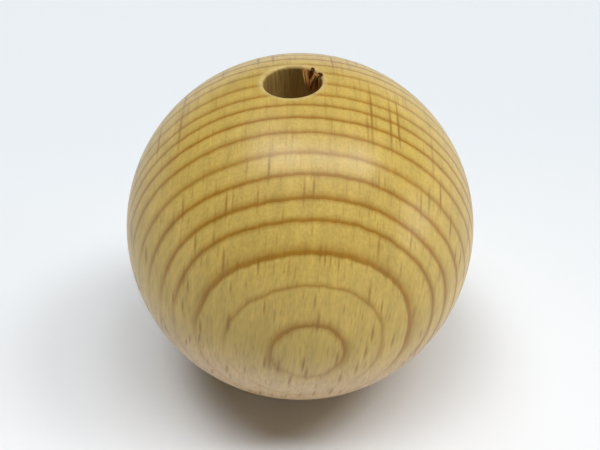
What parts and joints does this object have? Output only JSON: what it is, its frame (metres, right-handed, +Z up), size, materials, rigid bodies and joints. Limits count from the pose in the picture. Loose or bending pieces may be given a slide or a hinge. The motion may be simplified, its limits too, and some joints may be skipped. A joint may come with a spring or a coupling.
{
  "type": "wooden bead",
  "caption": "Large round wooden bead, a ball turned from light beech with a plain round bore right through it along the grain.",
  "frame": {"origin": "centre of the ball, halfway along the bore's axis", "axes": "+Z up along the bore, towards the mouth with the torn grain; -Y towards the growth rings' bark side; the bead stands on its lower mouth"},
  "size_m": [0.05, 0.05, 0.0492],
  "materials": {
    "beech": "turned and fine sanded beech, raw with a faint satin sheen"
  },
  "bodies": {
    "root": {"bead": "beech"}
  },
  "joints": []
}
